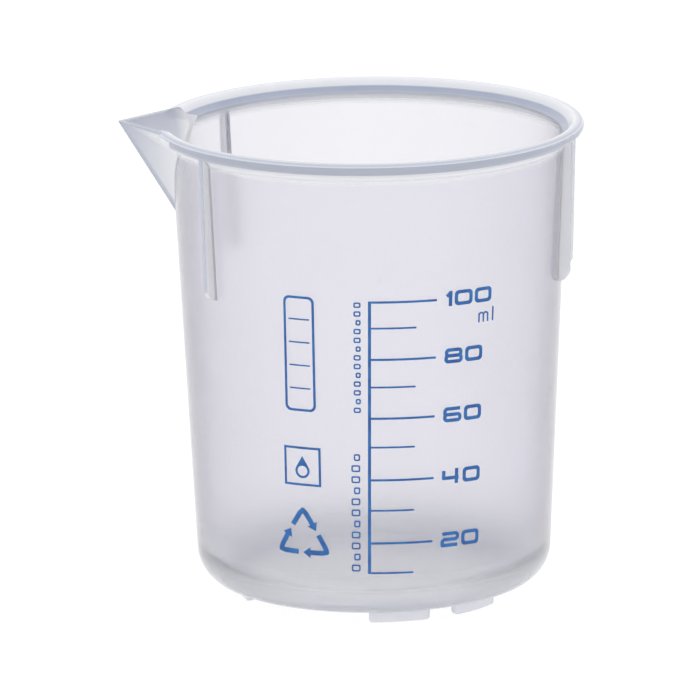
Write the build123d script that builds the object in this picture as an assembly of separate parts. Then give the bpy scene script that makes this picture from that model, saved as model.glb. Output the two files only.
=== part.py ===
from build123d import *
import math
import os

# A 100 ml low-form laboratory beaker, injection moulded in polypropylene, with a blue screen print.
# Frame: +Z up along the beaker's axis, z = 0 on the resting plane under the feet, spout towards -X.
# Azimuths are in degrees from -Y, the printed side, and positive towards +X. Lengths are in millimetres.

# Driving dimensions of the moulding
RIM_RADIUS = 31.75            # outermost edge of the rim
RIM_TOP = 71.65               # top of the rim above the resting plane
WALL = 1.0                    # wall thickness
FOOT_HEIGHT = 1.85            # gap between the resting plane and the underside
HEEL_RADIUS = 5.6             # outside corner between underside and wall
HEEL_TOP = FOOT_HEIGHT + HEEL_RADIUS
HEEL_WALL_RADIUS = 26.3       # outside radius of the wall where the heel ends
SHOULDER_WALL_RADIUS = 29.32  # outside radius of the wall under the rim
FLOOR_THICKNESS = 2.05        # thick floor, so that the beaker stands heavy
INNER_HEEL_RADIUS = 5.0

# Rim section, a flared step with a round nose over a cove
NOSE_RADIUS = 0.9
NOSE_CENTRE_R = RIM_RADIUS - NOSE_RADIUS
NOSE_CENTRE_Z = RIM_TOP - NOSE_RADIUS
COVE_RADIUS = 2.0             # hollow curve from the wall out to the nose
COVE_CENTRE_R = SHOULDER_WALL_RADIUS + COVE_RADIUS
WALL_TOP = NOSE_CENTRE_Z - math.sqrt((COVE_RADIUS + NOSE_RADIUS) ** 2 - (COVE_CENTRE_R - NOSE_CENTRE_R) ** 2)
STEP_FOOT_Z = 69.9            # inner wall ends, step begins
STEP_TOP = (29.4, 70.55)      # outer end of the step, as radius and height
LIP_INNER_TOP = (30.1, 71.5)
LIP_TOP_R = 30.35

# Pouring spout: two flat cheeks that meet in a sloping keel
SPOUT_TIP_RADIUS = 37.26      # furthest point of the rounded tip
SPOUT_TOP = 71.45             # level top edge of the cheeks
KEEL_FOOT_Z = 57.7            # where the keel runs out on the wall
CHEEK_HALF_ANGLE = 50.5       # each cheek, seen from above, from the spout's centre plane
CHEEK_THICKNESS = 0.95
KEEL_ROUND = 0.7              # rounding of the keel's outside edge, seen from above
WEDGE_BACK = 22.0             # the wedge between the cheeks is cut off here, inside the wall
KEEL_OVERRUN = 1.15           # the wedge runs on past the keel's foot by this factor

# Stacking ribs: four thin radial plates outside the wall, under the rim
RIB_AZIMUTHS = {
    "rib_front_left": -50.6,
    "rib_rear_left": -129.4,
    "rib_front_right": 80.4,
    "rib_rear_right": 99.6,
}
RIB_THICKNESS = 1.0
RIB_BOTTOM = 48.4             # lowest point, at the wall
RIB_CORNER = 1.7              # rounded bottom corner
RIB_OUTER_BOTTOM = 30.15      # radius of the rib's outer edge at its bottom
RIB_OUTER_TOP = 30.8          # and at its top

# Feet: arcs of one thin ring under the floor, as (first, last) azimuth
FEET = {
    "foot_front": (0.8, 27.4),
    "foot_front_right": (39.9, 65.7),
    "foot_rear_right": (114.3, 140.1),
    "foot_rear": (152.6, 179.2),
    "foot_left": (-112.4, -67.6),
}
FOOT_OUTER_RADIUS = 19.95
FOOT_THICKNESS = 1.0
FOOT_CORNER = 0.5

# Print: ink films laid on the outside of the wall. A mark's turn is its angle from the scale line.
INK = 0.07                    # film thickness
PRINT_TURN = 2.3              # azimuth of the scale line at mid height
PRINT_MID_Z = 31.0
PRINT_SKEW = 0.66             # the print sits slightly askew on the moulding, in degrees
PRINT_REACH = 3.0             # how far a flat sketch is swept through the curved skin
SKIN_LOW = HEEL_TOP + 0.5     # the printable band of the wall
SKIN_HIGH = 56.4
LINE_WIDTH = 0.46
LONG_TICK = 20.2              # length of a tick as an angle round the wall, in degrees
SHORT_TICK = 14.0
LONG_TICK_WIDTH = 0.33
SHORT_TICK_WIDTH = 0.27
GRADUATIONS = {               # millilitres: height of the mark's centre on the scale line
    10: 9.2, 20: 13.75, 30: 18.75, 40: 23.4, 50: 28.4,
    60: 32.8, 70: 37.55, 80: 41.75, 90: 46.5, 100: 50.45,
}
NUMERAL_START = 23.0          # turn of the first digit's left edge
NUMERAL_RISE = 0.05           # digits sit this far above their tick
NUMERAL_HEIGHT = 2.28
NUMERAL_STROKE = 0.52
NUMERAL_CORNER = 0.62
DIGIT_WIDTH = 2.95
DIGIT_GAP = 0.42
ONE_WIDTH = 1.15              # box of the digit 1
ONE_FLAG = (0.6, 0.55)        # how far its flag reaches out and down
FOUR_INSET = 0.35             # the 4's stem stands this far in from its right edge
FOUR_ARM = 0.62               # its arm lies this far above its foot

UNIT_TURN, UNIT_Z = 34.4, 46.35
UNIT_STROKE = 0.24
UNIT_HUMP = 0.78              # pitch of the uprights
UNIT_LOW, UNIT_HIGH = 1.42, 2.15
LABEL_TURN, LABEL_Z = -21.5, 42.2
LABEL_WIDE, LABEL_HIGH = 4.8, 17.5
LABEL_STROKE = 0.36
LABEL_CORNER = 0.9
RULE_STROKE = 0.22
RULE_INSET = 0.8
RULE_COUNT = 4
UPPER_PRINT_TURN, UPPER_PRINT_Z = -3.7, 42.05
UPPER_PRINT_SIZE = (1.06, 17.3)
UPPER_PRINT_COUNT = 13
LOWER_PRINT_TURN, LOWER_PRINT_Z = -4.25, 18.4
LOWER_PRINT_SIZE = (1.3, 18.6)
LOWER_PRINT_COUNT = 11
CAPTION_STROKE = 0.22
CAPTION_CORNER = 0.26
CAPTION_FILL = 0.62           # share of the pitch that a box takes
CAPTION_SMALL = 0.72          # every third box is this much smaller
PICTOGRAM_TURN, PICTOGRAM_Z = -21.3, 25.05
PICTOGRAM_WIDE, PICTOGRAM_HIGH = 5.75, 5.95
PICTOGRAM_STROKE = 0.34
DROP_RADIUS = 1.12
DROP_LOW = -0.7               # height of the drop's centre in the square
ARROWS_TURN, ARROWS_Z = -21.5, 14.2
ARROW_STROKE = 0.74
ARROW_APEX = 4.6              # from the triangle's centre to a corner, before it is rounded
ARROW_BEND = 0.45             # rounding of the bend
ARROW_TAIL = 3.2              # length of the plain end, along a side
ARROW_SHAFT = 2.9             # length of the other end, to the head
ARROW_POINT = 4.05            # and to the tip of the head
ARROW_HALF_HEAD = 0.82

FAR = 200.0                   # a radius beyond everything in the model
ABOVE = 1.0                   # how far cutting shapes reach over the rim


def wall_radius(z):
    """Outside radius of the conical wall at height z."""
    rise = (z - HEEL_TOP) / (WALL_TOP - HEEL_TOP)
    return HEEL_WALL_RADIUS + (SHOULDER_WALL_RADIUS - HEEL_WALL_RADIUS) * rise


def around(azimuth, radius, z):
    """The point at an azimuth, a distance from the axis and a height."""
    angle = math.radians(azimuth)
    return Vector(radius * math.sin(angle), -radius * math.cos(angle), z)


def turned(outline):
    """A solid of revolution about Z from a closed wire in the XZ plane."""
    return revolve(make_face(outline), Axis.Z)


def radial_plane(azimuth):
    """A plane through the axis, with x outwards at the azimuth and y up."""
    angle = math.radians(azimuth)
    sideways = (-math.cos(angle), -math.sin(angle), 0)
    return Plane(origin=(0, 0, 0), x_dir=around(azimuth, 1, 0), z_dir=sideways)


# ---- Solids that bound the others ----

def inner_space():
    """The space inside the wall and above the floor, up to the wall's top and beyond."""
    floor_z = FOOT_HEIGHT + FLOOR_THICKNESS
    tangent_z = floor_z + INNER_HEEL_RADIUS
    foot_r = wall_radius(tangent_z) - WALL
    corner = INNER_HEEL_RADIUS
    middle = (foot_r - corner + corner * math.sqrt(0.5), 0, tangent_z - corner * math.sqrt(0.5))
    outline = [
        Line((0, 0, floor_z), (foot_r - corner, 0, floor_z)),
        ThreePointArc((foot_r - corner, 0, floor_z), middle, (foot_r, 0, tangent_z)),
        Line((foot_r, 0, tangent_z), (wall_radius(STEP_FOOT_Z) - WALL, 0, STEP_FOOT_Z)),
        Line((wall_radius(STEP_FOOT_Z) - WALL, 0, STEP_FOOT_Z), (0, 0, STEP_FOOT_Z)),
        Line((0, 0, STEP_FOOT_Z), (0, 0, floor_z)),
    ]
    return turned(outline)


def outer_body():
    """Everything inside the outside of the heel and wall, up to the wall's top."""
    flat_r = HEEL_WALL_RADIUS - HEEL_RADIUS
    middle = (flat_r + HEEL_RADIUS * math.sqrt(0.5), 0, HEEL_TOP - HEEL_RADIUS * math.sqrt(0.5))
    outline = [
        Line((0, 0, FOOT_HEIGHT), (flat_r, 0, FOOT_HEIGHT)),
        ThreePointArc((flat_r, 0, FOOT_HEIGHT), middle, (HEEL_WALL_RADIUS, 0, HEEL_TOP)),
        Line((HEEL_WALL_RADIUS, 0, HEEL_TOP), (SHOULDER_WALL_RADIUS, 0, WALL_TOP)),
        Line((SHOULDER_WALL_RADIUS, 0, WALL_TOP), (0, 0, WALL_TOP)),
        Line((0, 0, WALL_TOP), (0, 0, FOOT_HEIGHT)),
    ]
    return turned(outline)


def rim_inside():
    """The rim's inner surface from the wall's top to the lip, as (radius, height) points."""
    return [
        (wall_radius(WALL_TOP) - WALL, WALL_TOP),
        (wall_radius(STEP_FOOT_Z) - WALL, STEP_FOOT_Z),
        STEP_TOP,
        LIP_INNER_TOP,
        (LIP_TOP_R, RIM_TOP),
    ]


def on_arc(centre_r, centre_z, radius, degrees):
    """A point of an arc in the XZ plane."""
    angle = math.radians(degrees)
    return (centre_r + radius * math.cos(angle), 0, centre_z + radius * math.sin(angle))


def rim_ring():
    """The whole rim: inner step, lip with a round nose, and a cove back to the wall."""
    inside = [(r, 0, z) for r, z in rim_inside()]
    meeting = math.degrees(math.atan2(NOSE_CENTRE_Z - WALL_TOP, NOSE_CENTRE_R - COVE_CENTRE_R))
    nose_top = (NOSE_CENTRE_R, 0, RIM_TOP)
    nose_low = on_arc(COVE_CENTRE_R, WALL_TOP, COVE_RADIUS, meeting)
    cove_middle = on_arc(COVE_CENTRE_R, WALL_TOP, COVE_RADIUS, (180 + meeting) / 2)
    shoulder = (SHOULDER_WALL_RADIUS, 0, WALL_TOP)
    outline = [Line(a, b) for a, b in zip(inside, inside[1:])]
    outline.append(Line(inside[-1], nose_top))
    outline.append(ThreePointArc(nose_top, (RIM_RADIUS, 0, NOSE_CENTRE_Z), nose_low))
    outline.append(ThreePointArc(nose_low, cove_middle, shoulder))
    outline.append(Line(shoulder, inside[0]))
    return turned(outline)


def mouth_space():
    """The space inside the rim's inner surface, above the wall's top."""
    inside = [(r, 0, z) for r, z in rim_inside()]
    high = RIM_TOP + ABOVE
    points = [(0, 0, WALL_TOP)] + inside + [(LIP_TOP_R, 0, high), (0, 0, high), (0, 0, WALL_TOP)]
    return turned([Line(a, b) for a, b in zip(points, points[1:])])


def wedge_outline(setback, rounding):
    """The triangle between the cheeks at the spout's top edge, its corner set back from the outer keel."""
    half_angle = math.radians(CHEEK_HALF_ANGLE)
    corner = SPOUT_TIP_RADIUS + KEEL_ROUND * (1 / math.sin(half_angle) - 1)
    tip = corner - setback
    half_width = (tip - WEDGE_BACK) * math.tan(half_angle)
    triangle = Polygon((-tip, 0), (-WEDGE_BACK, half_width), (-WEDGE_BACK, -half_width), align=None)
    if rounding > 0:
        edge = triangle.vertices().sort_by(Axis.X)[0]
        triangle = fillet(edge, rounding)
    return Location((0, 0, SPOUT_TOP)) * triangle


def spout_wedge(outline):
    """The wedge under an outline, slanting down and inwards as the keel does."""
    slope = Vector(SPOUT_TIP_RADIUS - wall_radius(KEEL_FOOT_Z), 0, KEEL_FOOT_Z - SPOUT_TOP)
    return extrude(outline, amount=slope.length * KEEL_OVERRUN, dir=slope.normalized())


# ---- The moulding's sub-parts ----

def make_base(outer, inner):
    """Floor and rounded heel, up to where the straight wall begins."""
    slab = Pos(0, 0, HEEL_TOP / 2) * Cylinder(FAR, HEEL_TOP)
    return (outer & slab) - inner


def make_body_wall(outer, inner, channel):
    """The conical wall, with the spout's channel cut through its top."""
    height = WALL_TOP - HEEL_TOP
    slab = Pos(0, 0, HEEL_TOP + height / 2) * Cylinder(FAR, height)
    return (outer & slab) - inner - channel


def make_spout(wedge, channel, outer, mouth):
    """Both cheeks, from the keel to the wall and the rim."""
    return keep_outermost(wedge - channel - outer - mouth)


def make_rib(azimuth, outer, rim):
    """One radial plate that fits against the wall and the underside of the rim."""
    slope = (RIB_OUTER_TOP - RIB_OUTER_BOTTOM) / (RIM_TOP - RIB_BOTTOM)
    plate = Polygon(
        (HEEL_WALL_RADIUS, RIB_BOTTOM),
        (RIB_OUTER_BOTTOM, RIB_BOTTOM),
        (RIB_OUTER_BOTTOM + slope * (NOSE_CENTRE_Z - RIB_BOTTOM), NOSE_CENTRE_Z),
        (HEEL_WALL_RADIUS, NOSE_CENTRE_Z),
        align=None,
    )
    corner = plate.vertices().sort_by(Axis.Y)[:2].sort_by(Axis.X)[-1]
    plate = fillet(corner, RIB_CORNER)
    solid = extrude(radial_plane(azimuth) * plate, amount=RIB_THICKNESS / 2, both=True)
    return keep_outermost(solid - outer - rim)


def keep_outermost(shape):
    """The largest solid of a cut."""
    return max(shape.solids(), key=lambda solid: solid.volume)


def make_foot(first, last):
    """One arc of the foot ring, with rounded lower corners."""
    span = last - first
    section = Polygon(
        (FOOT_OUTER_RADIUS - FOOT_THICKNESS, 0),
        (FOOT_OUTER_RADIUS, 0),
        (FOOT_OUTER_RADIUS, FOOT_HEIGHT),
        (FOOT_OUTER_RADIUS - FOOT_THICKNESS, FOOT_HEIGHT),
        align=None,
    )
    arc = revolve(radial_plane(first) * section, Axis.Z, revolution_arc=span)
    ends = arc.edges().filter_by(GeomType.LINE).group_by(Axis.Z)[0]
    return fillet(ends, FOOT_CORNER)


# ---- The print ----

def print_plane(turn, z):
    """A plane that touches the wall at an angle from the scale line and a height along that line."""
    skew = math.radians(PRINT_SKEW)
    radius = wall_radius(PRINT_MID_Z)
    sideways = (z - PRINT_MID_Z) * math.tan(skew)
    azimuth = PRINT_TURN + turn + math.degrees(sideways / radius)
    lowered = z - math.radians(turn) * radius * math.tan(skew)
    angle = math.radians(azimuth)
    return Plane(
        origin=around(azimuth, wall_radius(lowered), lowered),
        x_dir=(math.cos(angle), math.sin(angle), 0),
        z_dir=around(azimuth, 1, 0),
    )


def ink_skin():
    """The thin layer just outside the wall that every printed mark is cut from."""
    points = [
        (wall_radius(SKIN_LOW), 0, SKIN_LOW),
        (wall_radius(SKIN_LOW) + INK, 0, SKIN_LOW),
        (wall_radius(SKIN_HIGH) + INK, 0, SKIN_HIGH),
        (wall_radius(SKIN_HIGH), 0, SKIN_HIGH),
        (wall_radius(SKIN_LOW), 0, SKIN_LOW),
    ]
    return turned([Line(a, b) for a, b in zip(points, points[1:])])


def printed(sketch, turn, z, skin):
    """Lay a flat sketch on the wall as an ink film, askew as the whole print is."""
    askew = Rot(0, 0, -PRINT_SKEW) * sketch
    block = extrude(print_plane(turn, z) * askew, amount=PRINT_REACH, both=True)
    return block & skin


def bar(x0, y0, x1, y1, width):
    """A straight stroke with square ends."""
    length = math.hypot(x1 - x0, y1 - y0)
    tilt = math.degrees(math.atan2(y1 - y0, x1 - x0))
    return Location(((x0 + x1) / 2, (y0 + y1) / 2, 0), (0, 0, tilt)) * Rectangle(length, width)


def strokes(path, width):
    """Joined strokes through a list of points, mitred by round joints."""
    shape = bar(*path[0], *path[1], width)
    for start, end in zip(path[1:], path[2:]):
        shape += Pos(*start) * Circle(width / 2)
        shape += bar(*start, *end, width)
    return shape


def ring(width, height, stroke, corner):
    """A rounded rectangular ring, centred."""
    inner_high = height - 2 * stroke
    inner_corner = min(corner - stroke * 0.6, inner_high * 0.42)
    hole = RectangleRounded(width - 2 * stroke, inner_high, inner_corner)
    return RectangleRounded(width, height, corner) - hole


def digit(value):
    """One extended squared digit, centred on its box."""
    wide, high, pen, corner = DIGIT_WIDTH, NUMERAL_HEIGHT, NUMERAL_STROKE, NUMERAL_CORNER
    left, right = -wide / 2 + pen / 2, wide / 2 - pen / 2
    low, top = -high / 2 + pen / 2, high / 2 - pen / 2
    bevel = pen / 2
    half = (high + pen) / 2
    bowl = Pos(0, (half - high) / 2, 0) * ring(wide, half, pen, corner)
    if value == "0":
        return ring(wide, high, pen, corner)
    if value == "8":
        return bowl + Pos(0, (high - half) / 2, 0) * ring(wide - bevel / 2, half, pen, corner)
    if value == "6":
        return bowl + strokes([(left, 0), (left, top - bevel), (left + bevel, top), (right, top)], pen)
    if value == "4":
        arm = low + FOUR_ARM
        stem = right - FOUR_INSET
        shape = strokes([(left, top), (left, arm), (right, arm)], pen)
        return shape + bar(stem, high / 2, stem, -high / 2, pen)
    if value == "2":
        return strokes(
            [(left, top - bevel / 2), (left + bevel, top), (right - bevel, top), (right, top - bevel),
             (right, bevel), (right - bevel, 0), (left + bevel, 0), (left, -bevel), (left, low), (right, low)],
            pen)
    stem = (ONE_WIDTH - pen) / 2
    flag = strokes([(stem, top), (stem - ONE_FLAG[0], top - ONE_FLAG[1])], pen)
    return flag + bar(stem, high / 2, stem, -high / 2, pen)


def numeral(text):
    """A row of digits that starts at x = 0, centred on y = 0."""
    shape = None
    x = 0.0
    for value in text:
        wide = ONE_WIDTH if value == "1" else DIGIT_WIDTH
        glyph = Pos(x + wide / 2, 0, 0) * digit(value)
        shape = glyph if shape is None else shape + glyph
        x += wide + DIGIT_GAP
    return shape


def unit_sketch():
    """The thin unit sign under the top numeral."""
    pen, hump, high = UNIT_STROKE, UNIT_HUMP, UNIT_LOW
    letter = bar(0, 0, 0, high, pen)
    for k in range(2):
        start = k * hump
        end = start + hump
        letter += strokes(
            [(start, high - pen), (start + pen, high), (end - pen, high), (end, high - pen), (end, 0)], pen)
    last = 3.2 * hump
    return letter + bar(last, 0, last, UNIT_HIGH, pen)


def frame_sketch():
    """A blank write-on label: an upright rounded frame with ruled lines."""
    shape = ring(LABEL_WIDE, LABEL_HIGH, LABEL_STROKE, LABEL_CORNER)
    end = LABEL_WIDE / 2 - RULE_INSET
    for k in range(1, RULE_COUNT + 1):
        y = LABEL_HIGH / 2 - k * LABEL_HIGH / (RULE_COUNT + 1)
        shape += bar(-end, y, end, y, RULE_STROKE)
    return shape


def caption_sketch(size, count):
    """A column of small open boxes that stands in for one line of small print."""
    wide, length = size
    pitch = length / count
    shape = None
    for k in range(count):
        y = -length / 2 + (k + 0.5) * pitch
        high = wide * CAPTION_SMALL if k % 3 == 1 else wide
        box = ring(high, pitch * CAPTION_FILL, CAPTION_STROKE, CAPTION_CORNER)
        mark = Pos((wide - high) / 2, y, 0) * box
        shape = mark if shape is None else shape + mark
    return shape


def pictogram_sketch():
    """A square frame around a plain drop."""
    wide, high, pen = PICTOGRAM_WIDE, PICTOGRAM_HIGH, PICTOGRAM_STROKE
    shape = Rectangle(wide, high) - Rectangle(wide - 2 * pen, high - 2 * pen)
    side = DROP_RADIUS * math.cos(math.radians(30))
    rise = DROP_RADIUS * math.sin(math.radians(30))
    drop = Pos(0, DROP_LOW, 0) * Circle(DROP_RADIUS)
    top = DROP_LOW + 2 * DROP_RADIUS
    drop += Polygon((-side, DROP_LOW + rise), (side, DROP_LOW + rise), (0, top), align=None)
    hollow = Pos(0, DROP_LOW, 0) * Circle(DROP_RADIUS - pen)
    return shape + (drop - hollow)


def triangle_arrow():
    """One bent arrow of the recycling triangle, over its top corner, about the triangle's centre."""
    across, down = math.cos(math.radians(60)), math.sin(math.radians(60))
    tail = (-across * ARROW_TAIL, ARROW_APEX - down * ARROW_TAIL)
    head = (across * ARROW_SHAFT, ARROW_APEX - down * ARROW_SHAFT)
    tip = (across * ARROW_POINT, ARROW_APEX - down * ARROW_POINT)
    bend = (0, ARROW_APEX - ARROW_BEND)
    left = (-ARROW_BEND, bend[1] - ARROW_BEND)
    right = (ARROW_BEND, bend[1] - ARROW_BEND)
    shape = strokes([tail, left, bend, right, head], ARROW_STROKE)
    wing = (down * ARROW_HALF_HEAD, across * ARROW_HALF_HEAD)
    outer = (head[0] + wing[0], head[1] + wing[1])
    inner = (head[0] - wing[0], head[1] - wing[1])
    return shape + Polygon(outer, inner, tip, align=None)


def main():
    os.makedirs("parts", exist_ok=True)
    outer = outer_body()
    inner = inner_space()
    rim = rim_ring()
    mouth = mouth_space()
    wedge_cut = CHEEK_THICKNESS / math.sin(math.radians(CHEEK_HALF_ANGLE))
    cheeks = wedge_outline(0.0, KEEL_ROUND)
    wedge = spout_wedge(cheeks)
    above = extrude(cheeks, amount=ABOVE, dir=(0, 0, 1))
    channel = spout_wedge(wedge_outline(wedge_cut, 0.0))

    nodes = {
        "body_wall": make_body_wall(outer, inner, channel),
        "base": make_base(outer, inner),
        "rim_lip": rim - wedge - above,
        "pouring_spout": make_spout(wedge, channel, outer, mouth),
    }
    for name, azimuth in RIB_AZIMUTHS.items():
        nodes[name] = make_rib(azimuth, outer, rim)
    for name, (first, last) in FEET.items():
        nodes[name] = make_foot(first, last)

    skin = ink_skin()
    line_low = GRADUATIONS[10] - SHORT_TICK_WIDTH / 2
    line_high = GRADUATIONS[100] + LONG_TICK_WIDTH / 2
    line = Rectangle(LINE_WIDTH, line_high - line_low)
    nodes["scale_line"] = printed(line, 0, (line_low + line_high) / 2, skin)

    ticks = {"long_ticks": [], "short_ticks": []}
    for volume, z in GRADUATIONS.items():
        is_long = volume % 20 == 0
        angle = LONG_TICK if is_long else SHORT_TICK
        width = LONG_TICK_WIDTH if is_long else SHORT_TICK_WIDTH
        start = math.degrees(LINE_WIDTH / 2 / wall_radius(z))
        middle = (start + angle) / 2
        length = 2 * wall_radius(z) * math.sin(math.radians(angle - start) / 2)
        mark = printed(Rectangle(length, width), middle, z, skin)
        ticks["long_ticks" if is_long else "short_ticks"].append(mark)
    for name, marks in ticks.items():
        nodes[name] = Compound(children=[solid for mark in marks for solid in mark.solids()])

    for volume in (100, 80, 60, 40, 20):
        text = str(volume)
        sketch = numeral(text)
        box = sketch.bounding_box()
        middle = NUMERAL_START + math.degrees(box.size.X / 2 / wall_radius(GRADUATIONS[volume]))
        centred = Pos(-box.center().X, 0, 0) * sketch
        nodes["numeral_" + text] = printed(centred, middle, GRADUATIONS[volume] + NUMERAL_RISE, skin)

    upper = caption_sketch(UPPER_PRINT_SIZE, UPPER_PRINT_COUNT)
    lower = caption_sketch(LOWER_PRINT_SIZE, LOWER_PRINT_COUNT)
    arrows = triangle_arrow()
    for k in (1, 2):
        arrows += Rot(0, 0, -120 * k) * triangle_arrow()
    nodes["unit_sign"] = printed(unit_sketch(), UNIT_TURN, UNIT_Z, skin)
    nodes["label_frame"] = printed(frame_sketch(), LABEL_TURN, LABEL_Z, skin)
    nodes["small_print_upper"] = printed(upper, UPPER_PRINT_TURN, UPPER_PRINT_Z, skin)
    nodes["small_print_lower"] = printed(lower, LOWER_PRINT_TURN, LOWER_PRINT_Z, skin)
    nodes["pictogram"] = printed(pictogram_sketch(), PICTOGRAM_TURN, PICTOGRAM_Z, skin)
    nodes["recycling_triangle"] = printed(arrows, ARROWS_TURN, ARROWS_Z, skin)

    for name, shape in nodes.items():
        export_step(shape, os.path.join("parts", name + ".step"))
        print(name, len(shape.solids()), round(shape.volume, 2))


main()
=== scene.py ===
import math

import bmesh
import bpy
from mathutils import Matrix, Vector


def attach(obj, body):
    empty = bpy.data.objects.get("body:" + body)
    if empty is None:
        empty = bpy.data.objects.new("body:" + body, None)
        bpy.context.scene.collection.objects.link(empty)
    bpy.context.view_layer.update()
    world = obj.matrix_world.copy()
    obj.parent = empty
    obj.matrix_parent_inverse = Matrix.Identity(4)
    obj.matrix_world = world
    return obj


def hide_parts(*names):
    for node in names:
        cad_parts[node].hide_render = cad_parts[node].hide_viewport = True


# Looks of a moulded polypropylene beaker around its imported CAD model.
# Frame: metres, +Z up, z = 0 under the feet, spout towards -X, print on the -Y side.

MM = 0.001

# ---- Camera ----
CAMERA_TURN = math.radians(3.4)   # from -Y towards +X
CAMERA_SIDE = -3.246              # where the camera aims, left of the axis, in millimetres
CAMERA_HEIGHT = 36.695
CAMERA_DISTANCE = 1.7986
CAMERA_ELEVATION = math.radians(13.21)
CAMERA_ROLL = math.radians(-0.664)
CAMERA_LENS = 622.93
CAMERA_SENSOR = 36.0

# ---- The moulding, in millimetres, as in the CAD source ----
FOOT_HEIGHT = 1.85
FLOOR_TOP = 3.9
HEEL_RADIUS = 5.6
HEEL_TOP = 7.45
HEEL_WALL_RADIUS = 26.3
SHOULDER_WALL_RADIUS = 29.32
WALL = 1.0
INNER_HEEL_RADIUS = 5.0
RIM_TOP = 71.65
RIM_RADIUS = 31.75
NOSE_RADIUS = 0.9
NOSE = (RIM_RADIUS - NOSE_RADIUS, RIM_TOP - NOSE_RADIUS)
COVE_RADIUS = 2.0
COVE_R = SHOULDER_WALL_RADIUS + COVE_RADIUS
WALL_TOP = NOSE[1] - math.sqrt((COVE_RADIUS + NOSE_RADIUS) ** 2 - (COVE_R - NOSE[0]) ** 2)
STEP_FOOT_Z = 69.9
STEP_TOP = (29.4, 70.55)
LIP_INNER_TOP = (30.1, 71.5)
LIP_TOP_R = 30.35
SPOUT_TIP_RADIUS = 37.26
SPOUT_TOP = 71.45
KEEL_FOOT_Z = 57.7
CHEEK_HALF_ANGLE = math.radians(50.5)
CHEEK_THICKNESS = 0.95
KEEL_ROUND = 0.7
WEDGE_BACK = 22.0
KEEL_OVERRUN = 1.15
RIB_AZIMUTHS = (-50.6, -129.4, 80.4, 99.6)
RIB_ROOT_TOP = 30.1      # inner end of a rib inside the rim, clear of the inner step
RIB_THICKNESS = 1.0
RIB_BOTTOM = 48.4
RIB_CORNER = 1.7
RIB_OUTER_BOTTOM = 30.15
RIB_OUTER_TOP = 30.8
FEET = ((0.8, 27.4), (39.9, 65.7), (114.3, 140.1), (152.6, 179.2), (-112.4, -67.6))
FOOT_OUTER_RADIUS = 19.95
FOOT_THICKNESS = 1.0
FOOT_CORNER = 0.5
RIM_EASE = 0.16          # rounding of the rim's inner corners
EDGE = 0.14              # rounding of the outer edges of ribs, feet and spout
CUT_MERGE = 1e-7         # in metres, the least distance between a cut and a corner
SKIN_GAP = 0.02          # the moulding's outside lies this far inside the ink films
OVERLAP = 0.5            # how far joined features reach into each other
UNDERSIDE_INSET = 1.5    # from the flat underside's edge to the ring that its look ends on
INNER_WALL_TOP_Z = STEP_FOOT_Z - 2.0    # the plain inner wall ends here, under the rim's step
INNER_FLOOR_PART = 0.4   # radius of a ring on the floor, as a part of the inner wall's radius

# ---- How finely shapes are divided ----
TURNS = 360              # round the axis
WALL_STEPS = 12
HEEL_STEPS = 20
INNER_HEEL_STEPS = 16
COVE_STEPS = 12
NOSE_STEPS = 20
EASE_STEPS = 4
CORNER_STEPS = 8         # round the keel and the ribs' lower corners
FOOT_CORNER_ANGLES = range(0, 90, 15)
BEVEL_STEPS = 3
BEVEL_FROM = math.radians(40)     # edges flatter than this stay as they are
SMOOTH_UP_TO = math.radians(28)   # steeper edges are shaded sharp

# ---- Where each look goes ----
# Outside of the lathed shape, and a line that runs inside its thickness, as (height, radius)
OUTSIDE = ((0.0, 21.0), (2.0, 22.0), (HEEL_TOP, HEEL_WALL_RADIUS), (68.0, 29.4), (69.9, 31.1), (72.0, 31.8))
MIDDLE = (
    (0.0, 0.0), (3.0, 0.0), (3.4, 22.0), (9.0, 25.8),
    (69.5, 28.9), (70.3, 29.9), (71.4, 30.6), (72.0, 30.6),
)

# How much painted shade (first number) and how milky (second), by height on the lathed shape. The painted
# shade darkens the colour where the rim's nose and step, the heel and the floor's edge show dark bands of
# refracted and reflected shade.
NOSE_LOOK = (
    (67.9, 0.0, 0.0), (69.0, 0.0, 0.6), (69.9, 0.0, 1.0), (70.9, 0.0, 1.0),
    (71.2, 0.3, 1.0), (71.5, 0.8, 1.0), (71.64, 0.35, 1.0),
)
STEP_LOOK = (
    (68.0, 0.0, 0.0), (69.7, 0.3, 0.5), (70.0, 1.0, 0.85),
    (70.5, 1.0, 0.85), (70.7, 0.1, 1.0), (71.6, 0.0, 1.0),
)
HEEL_LOOK = ((1.8, 0.75, 0.5), (2.6, 0.5, 0.45), (4.0, 0.16, 0.4), (6.0, 0.02, 0.3), (8.5, 0.0, 0.0))
FLOOR_LOOK = ((3.0, 0.0, 0.35), (4.1, 0.0, 0.35), (4.6, 0.08, 0.35), (9.0, 0.0, 0.0))
UNDERSIDE_LOOK = (0.0, 0.4)
CHEEK_LOOK = ((70.95, 0.0, 0.75), (71.15, 0.7, 0.75), (71.9, 0.7, 0.75))
KEEL_LOOK = ((0.3, 0.75), (0.9, 0.65), (1.3, 0.0))      # painted shade by distance from the keel, a dark band along the keel
# (painted shade, milkiness) pairs: the ribs' outer edges get dark painted shade, the feet a little
RIB_LOOK = (0.0, 0.6)
RIB_EDGE_LOOK = (0.7, 0.7)
FOOT_LOOK = (0.12, 0.75)
SPOUT_SPREAD = 25.0      # degrees each side of -X that the spout stays within
SPOUT_START_X = -29.5    # only the spout lies further out than this
MARGIN = 1.0             # heights are compared with the spout's foot and the rim with this much to spare
STAND_OUT = 0.1          # how far a face lies outside the lathed shape before it counts as a feature
SPOUT_TWIST = 0.2        # how far a feature's faces turn from the lathed shape's
RIB_TWIST = 0.5

MOULDING_NODES = (
    "body_wall", "base", "rim_lip", "pouring_spout",
    "rib_front_left", "rib_rear_left", "rib_front_right", "rib_rear_right",
    "foot_front", "foot_front_right", "foot_rear_right", "foot_rear", "foot_left",
)


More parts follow.
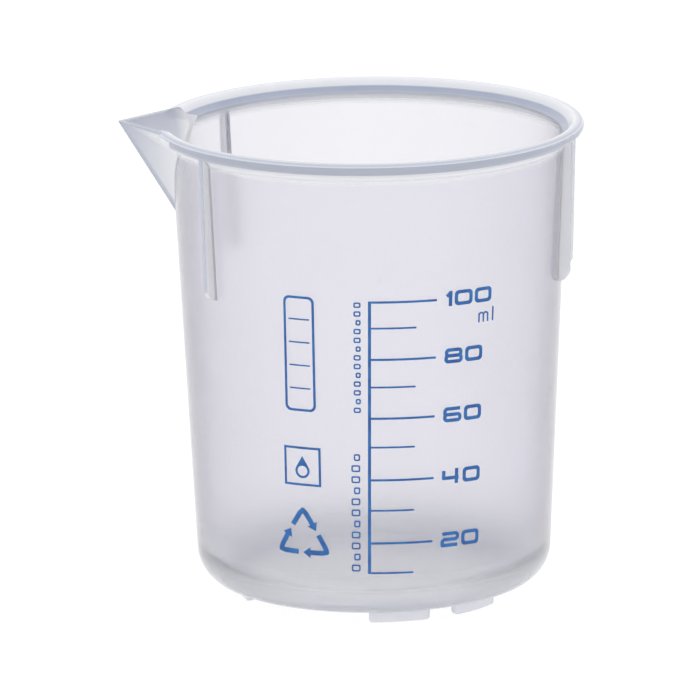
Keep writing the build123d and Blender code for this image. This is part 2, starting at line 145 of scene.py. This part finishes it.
def wall_radius(z):
    """Outside radius of the conical wall at a height."""
    rise = (z - HEEL_TOP) / (WALL_TOP - HEEL_TOP)
    return HEEL_WALL_RADIUS + (SHOULDER_WALL_RADIUS - HEEL_WALL_RADIUS) * rise


def around(azimuth, radius, z):
    """The point at an azimuth in degrees from -Y, a distance from the axis and a height."""
    angle = math.radians(azimuth)
    return Vector((radius * math.sin(angle), -radius * math.cos(angle), z))


def arc(centre, radius, start, end, steps):
    """Points of an arc in the section plane, angles in degrees from outwards."""
    points = []
    for k in range(steps + 1):
        angle = math.radians(start + (end - start) * k / steps)
        points.append((centre[0] + radius * math.cos(angle), centre[1] + radius * math.sin(angle)))
    return points


def new_object(name, bm):
    """An object from a bmesh built in millimetres."""
    bmesh.ops.recalc_face_normals(bm, faces=bm.faces)
    mesh = bpy.data.meshes.new(name)
    bm.to_mesh(mesh)
    bm.free()
    mesh.transform(Matrix.Scale(MM, 4))
    ob = bpy.data.objects.new(name, mesh)
    bpy.context.scene.collection.objects.link(ob)
    return ob


def lathe(name, section):
    """A solid of revolution from a section of (radius, height) points that starts and ends on the axis."""
    bm = bmesh.new()
    rings = []
    for radius, z in section:
        if radius == 0.0:
            rings.append([bm.verts.new((0, 0, z))])
        else:
            rings.append([bm.verts.new(around(360.0 * k / TURNS, radius, z)) for k in range(TURNS)])
    for low, high in zip(rings, rings[1:]):
        for k in range(TURNS):
            j = (k + 1) % TURNS
            corners = [low[0]] if len(low) == 1 else [low[k], low[j]]
            corners += [high[0]] if len(high) == 1 else [high[j], high[k]]
            bm.faces.new(corners)
    return new_object(name, bm)


def prism(name, outline, along, base):
    """A prism from a closed outline of (x, y) at a height base, swept along a vector."""
    bm = bmesh.new()
    near = [bm.verts.new((x, y, base)) for x, y in outline]
    far = [bm.verts.new(Vector((x, y, base)) + along) for x, y in outline]
    bm.faces.new(near)
    bm.faces.new(far)
    for k in range(len(outline)):
        j = (k + 1) % len(outline)
        bm.faces.new((near[k], near[j], far[j], far[k]))
    return new_object(name, bm)


def combine(ob, other, operation):
    """Boolean of ob with other, applied. The other object is used up."""
    modifier = ob.modifiers.new("cut", "BOOLEAN")
    modifier.operation = operation
    modifier.solver = "EXACT"
    modifier.object = other
    graph = bpy.context.evaluated_depsgraph_get()
    mesh = bpy.data.meshes.new_from_object(ob.evaluated_get(graph))
    ob.modifiers.clear()
    ob.data = mesh
    bpy.data.objects.remove(other)


def moulding_section():
    """The section of floor, heel, wall and rim, from the axis under the floor to the axis above it."""
    gap = SKIN_GAP
    flat_r = HEEL_WALL_RADIUS - HEEL_RADIUS
    points = [(0.0, FOOT_HEIGHT), (flat_r - UNDERSIDE_INSET, FOOT_HEIGHT)]
    points += arc((flat_r, HEEL_TOP), HEEL_RADIUS - gap, -90, 0, HEEL_STEPS)
    for k in range(1, WALL_STEPS):
        z = HEEL_TOP + (WALL_TOP - HEEL_TOP) * k / WALL_STEPS
        points.append((wall_radius(z) - gap, z))
    meeting = math.degrees(math.atan2(NOSE[1] - WALL_TOP, NOSE[0] - COVE_R))
    points += arc((COVE_R, WALL_TOP), COVE_RADIUS + gap, 180, meeting, COVE_STEPS)
    points += arc(NOSE, NOSE_RADIUS - gap, meeting - 180, 90, NOSE_STEPS)[1:]
    inner = [
        (LIP_TOP_R, RIM_TOP - gap),
        LIP_INNER_TOP,
        STEP_TOP,
        (wall_radius(STEP_FOOT_Z) - WALL, STEP_FOOT_Z),
        (wall_radius(INNER_WALL_TOP_Z) - WALL, INNER_WALL_TOP_Z),
    ]
    points += rounded(inner, RIM_EASE)
    tangent_z = FLOOR_TOP + INNER_HEEL_RADIUS
    foot_r = wall_radius(tangent_z) - WALL
    for k in range(1, WALL_STEPS):
        z = INNER_WALL_TOP_Z + (tangent_z - INNER_WALL_TOP_Z) * k / WALL_STEPS
        points.append((wall_radius(z) - WALL, z))
    points += arc((foot_r - INNER_HEEL_RADIUS, tangent_z), INNER_HEEL_RADIUS, 0, -90, INNER_HEEL_STEPS)
    points += [(foot_r * INNER_FLOOR_PART, FLOOR_TOP), (0.0, FLOOR_TOP)]
    return points


def rounded(points, ease):
    """A path with its inner corners replaced by short curves that start this far from each corner."""
    path = [points[0]]
    for before, corner, after in zip(points, points[1:], points[2:]):
        before, corner, after = Vector(before), Vector(corner), Vector(after)
        start = corner + (before - corner).normalized() * ease
        end = corner + (after - corner).normalized() * ease
        for k in range(EASE_STEPS + 1):
            t = k / EASE_STEPS
            path.append(tuple(start * (1 - t) ** 2 + corner * 2 * t * (1 - t) + end * t ** 2))
    return path + [points[-1]]


def middle_section():
    """A cone inside the wall's thickness and the rim: what joins the outside ends on it."""
    low, high, above = HEEL_TOP + 2, STEP_FOOT_Z - OVERLAP, RIM_TOP + 5
    points = [(0.0, FLOOR_TOP), (wall_radius(FLOOR_TOP) - OVERLAP - 4, FLOOR_TOP)]
    points += [(wall_radius(z) - OVERLAP, z) for z in (low, high)]
    points += [(29.9, 70.3), (30.5, 71.3), (30.7, RIM_TOP), (30.7, above), (0.0, above)]
    return points


def wedge_outline(setback, rounding):
    """The wedge between the cheeks at the spout's top, its corner set back from the outer keel."""
    corner = SPOUT_TIP_RADIUS + KEEL_ROUND * (1 / math.sin(CHEEK_HALF_ANGLE) - 1)
    tip = corner - setback
    half_width = (tip - WEDGE_BACK) * math.tan(CHEEK_HALF_ANGLE)
    outline = [(-WEDGE_BACK, half_width)]
    if rounding > 0:
        centre_x = -tip + rounding / math.sin(CHEEK_HALF_ANGLE)
        side = 90 + math.degrees(CHEEK_HALF_ANGLE)
        outline += arc((centre_x, 0.0), rounding, side, 360 - side, CORNER_STEPS)
    else:
        outline.append((-tip, 0.0))
    outline.append((-WEDGE_BACK, -half_width))
    return outline


def spout_slope():
    """The keel's direction, and its full length beyond the wall."""
    run = SPOUT_TIP_RADIUS - wall_radius(KEEL_FOOT_Z)
    return Vector((run, 0.0, KEEL_FOOT_Z - SPOUT_TOP)) * KEEL_OVERRUN


def top_edge_of_wedge(a, b):
    """Whether an edge is one of the wedge's top edges outside the beaker."""
    return min(a.z, b.z) > SPOUT_TOP - 0.1 and min(a.x, b.x) < -WEDGE_BACK - 0.1


def add_spout(body):
    """Join the cheeks and keel to the body and cut the channel between them."""
    slope = spout_slope()
    wedge = prism("wedge", wedge_outline(0.0, KEEL_ROUND), slope, SPOUT_TOP - SKIN_GAP)
    ease(wedge, top_edge_of_wedge)
    combine(wedge, lathe("middle", middle_section()), "DIFFERENCE")
    combine(body, wedge, "UNION")
    setback = CHEEK_THICKNESS / math.sin(CHEEK_HALF_ANGLE)
    rise = 2.0
    outline = [(x - slope.x * rise / -slope.z, y) for x, y in wedge_outline(setback, 0.0)]
    channel = prism("channel", outline, slope * (1 + rise / -slope.z), SPOUT_TOP + rise)
    combine(body, channel, "DIFFERENCE")


def make_moulding():
    """The whole moulding as one mesh."""
    body = lathe("beaker", moulding_section())
    add_spout(body)
    for azimuth in RIB_AZIMUTHS:
        combine(body, make_rib(azimuth), "UNION")
    for first, last in FEET:
        combine(body, make_foot(first, last), "UNION")
    return body


def plate(name, outline, azimuth, plate_thickness_and_painted_shade):
    """A radial plate from an outline of (radius, height), centred on an azimuth."""
    bm = bmesh.new()
    angle = math.radians(azimuth)
    sideways = Vector((math.cos(angle), math.sin(angle), 0.0)) * plate_thickness_and_painted_shade / 2
    near = [bm.verts.new(around(azimuth, r, z) - sideways) for r, z in outline]
    far = [bm.verts.new(around(azimuth, r, z) + sideways) for r, z in outline]
    bm.faces.new(near)
    bm.faces.new(far)
    for k in range(len(outline)):
        j = (k + 1) % len(outline)
        bm.faces.new((near[k], near[j], far[j], far[k]))
    return new_object(name, bm)


def ease(ob, wanted):
    """Round the edges of a simple solid that wanted(end, end), in millimetres, picks."""
    bm = bmesh.new()
    bm.from_mesh(ob.data)
    picked = [e for e in bm.edges if wanted(e.verts[0].co / MM, e.verts[1].co / MM)]
    sharp = [e for e in picked if e.calc_face_angle(0.0) > BEVEL_FROM]
    bmesh.ops.bevel(bm, geom=sharp, offset=EDGE * MM, segments=BEVEL_STEPS, profile=0.5, affect="EDGES")
    bmesh.ops.recalc_face_normals(bm, faces=bm.faces)
    bm.to_mesh(ob.data)
    bm.free()


def rib_outer_radius(z):
    """Distance of a rib's outer edge from the axis at a height."""
    slope = (RIB_OUTER_TOP - RIB_OUTER_BOTTOM) / (RIM_TOP - RIB_BOTTOM)
    return RIB_OUTER_BOTTOM + slope * (z - RIB_BOTTOM)


def make_rib(azimuth):
    """One thin radial rib under the rim, with a rounded lower corner."""
    top = NOSE[1]
    root = wall_radius(RIB_BOTTOM) - OVERLAP
    corner_centre = (RIB_OUTER_BOTTOM - RIB_CORNER, RIB_BOTTOM + RIB_CORNER)
    corner = arc(corner_centre, RIB_CORNER, -90, 0, CORNER_STEPS)
    corner = [p for p in corner if p[0] > root + 0.05]
    outline = [(root, corner[0][1]), *corner]
    outline.append((rib_outer_radius(top), top))
    outline.append((RIB_ROOT_TOP, top))
    outline.append((wall_radius(WALL_TOP) - OVERLAP, WALL_TOP))
    rib = plate("rib", outline, azimuth, RIB_THICKNESS)
    inside = wall_radius(RIB_BOTTOM) + 0.2
    centre = around(azimuth, 1.0, 0.0).xy

    def outer_edge(a, b):
        along = (b - a).normalized()
        across = abs(along.xy.dot(Vector((-centre.y, centre.x)))) > 0.9
        return min(a.xy.length, b.xy.length) > inside and not across

    ease(rib, outer_edge)
    return rib


def low_edge_of_foot(a, b):
    """Whether an edge is one of a foot's lower edges and not an upright one."""
    return min(a.z, b.z) < FOOT_HEIGHT and abs(a.z - b.z) < 0.3


def make_foot(first, last):
    """One arc of the foot ring, reaching up into the floor, with rounded lower corners."""
    outer, inner = FOOT_OUTER_RADIUS, FOOT_OUTER_RADIUS - FOOT_THICKNESS
    top = FOOT_HEIGHT + OVERLAP
    span = last - first
    corner = math.degrees(FOOT_CORNER / (outer - FOOT_THICKNESS / 2))
    angles = [math.radians(a) for a in FOOT_CORNER_ANGLES]
    turns = [first + corner * (1 - math.cos(a)) for a in angles]
    lows = [FOOT_CORNER * (1 - math.sin(a)) for a in angles]
    far_turns = [first + last - t for t in reversed(turns)]
    far_lows = list(reversed(lows))
    steps = int(span)
    turns += [first + corner + (span - 2 * corner) * k / steps for k in range(steps + 1)]
    lows += [0.0] * (steps + 1)

    bm = bmesh.new()
    columns = []
    for turn, low in zip(turns + far_turns, lows + far_lows):
        section = ((inner, low), (outer, low), (outer, top), (inner, top))
        columns.append([bm.verts.new(around(turn, r, z)) for r, z in section])
    for a, b in zip(columns, columns[1:]):
        for k in range(4):
            j = (k + 1) % 4
            bm.faces.new((a[k], a[j], b[j], b[k]))
    bm.faces.new(columns[0])
    bm.faces.new(columns[-1])
    foot = new_object("foot", bm)
    ease(foot, low_edge_of_foot)
    return foot


def follow(value, table):
    """A number read off a table of (place, number) pairs in rising order."""
    if value <= table[0][0]:
        return table[0][1]
    for (low, a), (high, b) in zip(table, table[1:]):
        if value <= high:
            return a + (b - a) * (value - low) / (high - low)
    return table[-1][1]


def look_at(z, table):
    """Painted shade and milkiness read off a table at a height."""
    return follow(z, [row[:2] for row in table]), follow(z, [row[::2] for row in table])


def look_on_lathe(point):
    """Painted shade and milkiness at a point of the lathed shape."""
    outside = point.xy.length > follow(point.z, MIDDLE)
    if point.z < FOOT_HEIGHT + SKIN_GAP / 2 and point.xy.length < HEEL_WALL_RADIUS - HEEL_RADIUS - MARGIN:
        return UNDERSIDE_LOOK
    if point.z > INNER_WALL_TOP_Z:
        return look_at(point.z, NOSE_LOOK if outside else STEP_LOOK)
    return look_at(point.z, HEEL_LOOK if outside else FLOOR_LOOK)


def look_on_spout(point):
    """Painted shade and milkiness at a point of a cheek."""
    slope = spout_slope()
    keel_x = -SPOUT_TIP_RADIUS + slope.x * (SPOUT_TOP - point.z) / -slope.z
    # edge is the cheek's painted shade by height; the keel's painted shade wins where it is darker
    edge, milk = look_at(point.z, CHEEK_LOOK)
    return max(edge, follow(point.x - keel_x, KEEL_LOOK)), milk


def look_on_rib(point):
    """Painted shade and milkiness at a point of a rib."""
    at_edge = point.xy.length > rib_outer_radius(point.z) - EDGE * 0.6
    return RIB_EDGE_LOOK if at_edge else RIB_LOOK


def look_on_foot(_point):
    """Painted shade and milkiness at any point of a foot."""
    return FOOT_LOOK


def look_of_face(centre, normal):
    """The function that says how a face looks, from the feature that it belongs to."""
    radial = Vector((centre.x, centre.y, 0.0)).normalized()
    twist = abs(normal.dot(Vector((-radial.y, radial.x, 0.0))))
    stands_out = centre.xy.length > follow(centre.z, OUTSIDE) + STAND_OUT
    at_spout = abs(math.degrees(math.atan2(centre.y, -centre.x))) < SPOUT_SPREAD
    if centre.z < FOOT_HEIGHT - SKIN_GAP / 2:
        return look_on_foot
    if at_spout and centre.z > KEEL_FOOT_Z - MARGIN and (twist > SPOUT_TWIST or stands_out):
        return look_on_spout
    if not at_spout and centre.z > RIB_BOTTOM - 0.2 and (twist > RIB_TWIST or stands_out):
        return look_on_rib
    return look_on_lathe


def give_look(ob):
    """Store how much painted shade the plastic gets and how milky it is, as attributes that its material
    reads.
    """
    mesh = ob.data
    plate_thickness_and_painted_shade = [0.0] * len(mesh.loops)
    milk = [0.0] * len(mesh.loops)
    for polygon in mesh.polygons:
        look = look_of_face(polygon.center / MM, polygon.normal)
        for index in polygon.loop_indices:
            point = mesh.vertices[mesh.loops[index].vertex_index].co / MM
            plate_thickness_and_painted_shade[index], milk[index] = look(point)
    # the first stored number is painted shade, which darkens the plastic's colour
    for name, values in (("plate_thickness_and_painted_shade", plate_thickness_and_painted_shade), ("milk", milk)):
        stored = mesh.attributes.new(name, "FLOAT", "CORNER")
        stored.data.foreach_set("value", values)


def cut_across(ob, place, normal, wanted):
    """Add an edge loop where a plane crosses the faces that wanted(centre) picks."""
    bm = bmesh.new()
    bm.from_mesh(ob.data)
    faces = [f for f in bm.faces if wanted(f.calc_center_median() / MM)]
    geometry = faces + list({e for f in faces for e in f.edges}) + list({v for f in faces for v in f.verts})
    place_m = Vector(place) * MM
    bmesh.ops.bisect_plane(bm, geom=geometry, plane_co=place_m, plane_no=Vector(normal), dist=CUT_MERGE)
    bm.to_mesh(ob.data)
    bm.free()


def beyond_wall(centre):
    """Whether a face lies on the spout's outer part."""
    return centre.x < SPOUT_START_X and centre.z > KEEL_FOOT_Z - MARGIN


def cut_spout_for_looks(ob):
    """Edge loops on the spout where its look starts to change."""
    keel = spout_slope()
    across_keel = (-keel.z, 0.0, keel.x)
    for row in CHEEK_LOOK[:2]:
        cut_across(ob, (0, 0, row[0]), (0, 0, 1), beyond_wall)
    for row in KEEL_LOOK:
        cut_across(ob, (-SPOUT_TIP_RADIUS + row[0], 0, SPOUT_TOP), across_keel, beyond_wall)


# ---- Materials ----

THIN_COLOUR = (1.0, 0.996, 1.0)
MILKY_COLOUR = (0.95, 0.958, 1.0)
# painted shade: the dark blue-grey that stands in for the dark bands of the rim, keel, heel and rib edges
PAINTED_SHADE_COLOUR = (0.42, 0.47, 0.61)
CLOUD_COLOUR = (0.86, 0.88, 0.95)
SPECK_COLOUR = (0.7, 0.72, 0.78)
CLOUD_MOST = 0.05                # most of the cloud colour that a streak takes
SPECK_MOST = 0.35
CLEAR = 0.985                    # transmission of the plain wall
MILKY = 0.1                      # transmission of the milkiest places
HAZE_TINT = (0.945, 0.943, 0.959)    # what one surface lets through, less at a grazing angle
PLASTIC_IOR = 1.49
HAZE_IOR = 1.1
HAZE_ROUGHNESS = 0.2
HAZE_END = 0.35                  # milkiness from which the haze is part of the milky colour
ABSORPTION_DENSITY = 400.0
ABSORPTION = (5.0, 4.5, 2.0)     # per metre
PLASTIC_ROUGHNESS = (0.15, 0.2)
PLASTIC_BUMP = (0.12, 0.00006)   # strength, and height in metres
FLOW_STRETCH = (1.0, 1.0, 0.12)  # flow streaks run up the wall
NOISE_MIDDLE = (0.35, 0.7)       # the middle of a noise's range
SPECK_RANGE = (0.77, 0.83)       # only the tops of the noise are specks
GLOSS_RANGE = (0.3, 0.7)
INK_DARK = (0.008, 0.085, 0.31)
INK_LIGHT = (0.016, 0.155, 0.45)
INK_ROUGHNESS = (0.38, 0.55)
INK_BUMP = (0.25, 0.00002)

# How many noise features fit in a metre
STREAK_SCALE = 110.0
SPECK_SCALE = 420.0
GLOSS_SCALE = 60.0
RIPPLE_SCALE = 160.0
INK_PATCH_SCALE = 700.0
INK_GLOSS_SCALE = 900.0
INK_GRAIN_SCALE = 2500.0


def node_material(name):
    """A new node material and its tree, with an empty tree but for the output."""
    material = bpy.data.materials.new(name)
    material.use_nodes = True
    tree = material.node_tree
    tree.nodes.clear()
    output = tree.nodes.new("ShaderNodeOutputMaterial")
    return material, tree, output


def value_of(tree, source, low, high, start=0.0, end=1.0):
    """A socket that carries source remapped from start..end to low..high."""
    remap = tree.nodes.new("ShaderNodeMapRange")
    tree.links.new(source, remap.inputs["Value"])
    remap.inputs["From Min"].default_value = start
    remap.inputs["From Max"].default_value = end
    remap.inputs["To Min"].default_value = low
    remap.inputs["To Max"].default_value = high
    return remap.outputs["Result"]


def blend(tree, factor, a, b):
    """A colour socket that goes from a to b. Each of them is a colour or a socket."""
    mix = tree.nodes.new("ShaderNodeMix")
    mix.data_type = "RGBA"
    tree.links.new(factor, mix.inputs["Factor"])
    for socket, colour in ((mix.inputs["A"], a), (mix.inputs["B"], b)):
        if isinstance(colour, tuple):
            socket.default_value = (*colour, 1.0)
        else:
            tree.links.new(colour, socket)
    return mix.outputs["Result"]


def noise(tree, scale, detail=3.0, stretch=(1.0, 1.0, 1.0)):
    """A noise socket in the object's own metres."""
    place = tree.nodes.new("ShaderNodeTexCoord")
    mapping = tree.nodes.new("ShaderNodeMapping")
    mapping.inputs["Scale"].default_value = stretch
    texture = tree.nodes.new("ShaderNodeTexNoise")
    texture.inputs["Scale"].default_value = scale
    texture.inputs["Detail"].default_value = detail
    tree.links.new(place.outputs["Object"], mapping.inputs["Vector"])
    tree.links.new(mapping.outputs["Vector"], texture.inputs["Vector"])
    return texture.outputs["Fac"]


def bump(tree, height, strength, distance):
    """A normal socket bumped by a height socket."""
    node = tree.nodes.new("ShaderNodeBump")
    node.inputs["Strength"].default_value = strength
    node.inputs["Distance"].default_value = distance
    tree.links.new(height, node.inputs["Height"])
    return node.outputs["Normal"]


def attribute(tree, name):
    """A socket that carries one of the moulding's stored numbers."""
    node = tree.nodes.new("ShaderNodeAttribute")
    node.attribute_name = name
    return node.outputs["Fac"]


def polypropylene():
    """Translucent milky plastic with painted shade, flow streaks, faint clouds and a softly uneven gloss.
    """
    material, tree, output = node_material("polypropylene")
    shader = tree.nodes.new("ShaderNodeBsdfPrincipled")
    link = tree.links.new
    by_milk = blend(tree, attribute(tree, "milk"), THIN_COLOUR, MILKY_COLOUR)
    # painted shade: the colour is pulled toward the dark blue-grey by the stored shade number
    with_painted_shade = blend(tree, attribute(tree, "plate_thickness_and_painted_shade"), by_milk, PAINTED_SHADE_COLOUR)
    streaks = value_of(tree, noise(tree, STREAK_SCALE, 4.0, FLOW_STRETCH), 0.0, 1.0, *NOISE_MIDDLE)
    clouded = blend(tree, value_of(tree, streaks, 0.0, CLOUD_MOST), with_painted_shade, CLOUD_COLOUR)
    specks = value_of(tree, noise(tree, SPECK_SCALE, 1.0), 0.0, SPECK_MOST, *SPECK_RANGE)
    gloss = value_of(tree, noise(tree, GLOSS_SCALE), *PLASTIC_ROUGHNESS, *GLOSS_RANGE)
    haze = value_of(tree, attribute(tree, "milk"), 1.0, 0.0, 0.0, HAZE_END)
    link(blend(tree, specks, clouded, SPECK_COLOUR), shader.inputs["Base Color"])
    link(value_of(tree, attribute(tree, "milk"), CLEAR, MILKY), shader.inputs["Transmission Weight"])
    link(gloss, shader.inputs["Roughness"])
    link(bump(tree, noise(tree, RIPPLE_SCALE, 2.0), *PLASTIC_BUMP), shader.inputs["Normal"])
    link(haze, shader.inputs["Coat Weight"])
    shader.inputs["IOR"].default_value = PLASTIC_IOR
    shader.inputs["Coat IOR"].default_value = HAZE_IOR
    shader.inputs["Coat Roughness"].default_value = HAZE_ROUGHNESS
    shader.inputs["Coat Tint"].default_value = (*HAZE_TINT, 1.0)
    link(shader.outputs["BSDF"], output.inputs["Surface"])
    volume = tree.nodes.new("ShaderNodeVolumeAbsorption")
    volume.inputs["Color"].default_value = (*[1 - s / ABSORPTION_DENSITY for s in ABSORPTION], 1.0)
    volume.inputs["Density"].default_value = ABSORPTION_DENSITY
    link(volume.outputs["Volume"], output.inputs["Volume"])
    return material


def ink():
    """Blue screen-printing ink, laid a little unevenly."""
    material, tree, output = node_material("blue_ink")
    shader = tree.nodes.new("ShaderNodeBsdfPrincipled")
    link = tree.links.new
    patches = value_of(tree, noise(tree, INK_PATCH_SCALE), 0.0, 1.0, *NOISE_MIDDLE)
    gloss = value_of(tree, noise(tree, INK_GLOSS_SCALE), *INK_ROUGHNESS, *GLOSS_RANGE)
    link(blend(tree, patches, INK_DARK, INK_LIGHT), shader.inputs["Base Color"])
    link(gloss, shader.inputs["Roughness"])
    link(bump(tree, noise(tree, INK_GRAIN_SCALE, 2.0), *INK_BUMP), shader.inputs["Normal"])
    link(shader.outputs["BSDF"], output.inputs["Surface"])
    return material


# ---- Surroundings ----

WHITE = (1.0, 1.0, 1.0, 1.0)
FLOOR_HALF = 4000.0
FLOOR_DROP = 0.02                # the floor lies this far under the feet
FLOOR_COLOUR = (0.08, 0.08, 0.08, 1.0)
FLOOR_ROUGHNESS = 0.9
FLOOR_GLOW = 0.93


def make_surroundings():
    """White floor, white world."""
    bm = bmesh.new()
    corners = ((-1, -1), (1, -1), (1, 1), (-1, 1))
    bm.faces.new([bm.verts.new((x * FLOOR_HALF, y * FLOOR_HALF, -FLOOR_DROP)) for x, y in corners])
    floor = new_object("floor", bm)
    material, tree, output = node_material("floor")
    shader = tree.nodes.new("ShaderNodeBsdfPrincipled")
    shader.inputs["Base Color"].default_value = FLOOR_COLOUR
    shader.inputs["Roughness"].default_value = FLOOR_ROUGHNESS
    shader.inputs["Emission Color"].default_value = WHITE
    shader.inputs["Emission Strength"].default_value = FLOOR_GLOW
    tree.links.new(shader.outputs["BSDF"], output.inputs["Surface"])
    floor.data.materials.append(material)

    world = bpy.data.worlds.new("studio")
    bpy.context.scene.world = world
    world.use_nodes = True
    background = world.node_tree.nodes["Background"]
    background.inputs["Color"].default_value = WHITE
    background.inputs["Strength"].default_value = 1.0


def make_camera():
    """The camera of the product view."""
    turn = Matrix.Rotation(CAMERA_TURN, 3, "Z")
    forward = turn @ Vector((0.0, math.cos(CAMERA_ELEVATION), -math.sin(CAMERA_ELEVATION)))
    right = turn @ Vector((1.0, 0.0, 0.0))
    up = right.cross(forward)
    side = right * math.cos(CAMERA_ROLL) + up * math.sin(CAMERA_ROLL)
    top = up * math.cos(CAMERA_ROLL) - right * math.sin(CAMERA_ROLL)
    data = bpy.data.cameras.new("camera")
    data.lens = CAMERA_LENS
    data.sensor_width = CAMERA_SENSOR
    data.clip_start = 0.1
    data.clip_end = 50.0
    camera = bpy.data.objects.new("camera", data)
    bpy.context.scene.collection.objects.link(camera)
    target = (right * CAMERA_SIDE + Vector((0.0, 0.0, CAMERA_HEIGHT))) * MM
    place = target - forward * CAMERA_DISTANCE
    columns = Matrix((side, top, -forward)).transposed().to_4x4()
    camera.matrix_world = Matrix.Translation(place) @ columns
    bpy.context.scene.camera = camera


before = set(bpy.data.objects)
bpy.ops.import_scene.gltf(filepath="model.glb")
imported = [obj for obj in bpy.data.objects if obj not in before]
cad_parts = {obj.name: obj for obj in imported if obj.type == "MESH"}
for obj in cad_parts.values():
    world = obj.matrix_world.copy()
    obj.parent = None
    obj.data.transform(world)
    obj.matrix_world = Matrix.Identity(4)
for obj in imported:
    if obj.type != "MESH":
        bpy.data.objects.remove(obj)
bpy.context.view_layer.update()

make_camera()
make_surroundings()
bpy.context.scene.view_settings.view_transform = "Standard"

moulding = make_moulding()
cut_spout_for_looks(moulding)
give_look(moulding)
moulding.data.set_sharp_from_angle(angle=SMOOTH_UP_TO)
for polygon in moulding.data.polygons:
    polygon.use_smooth = True
moulding.data.materials.clear()
moulding.data.materials.append(polypropylene())
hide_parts(*MOULDING_NODES)
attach(moulding, "root")

ink_material = ink()
for name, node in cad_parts.items():
    if name not in MOULDING_NODES:
        node.data.materials.clear()
        node.data.materials.append(ink_material)
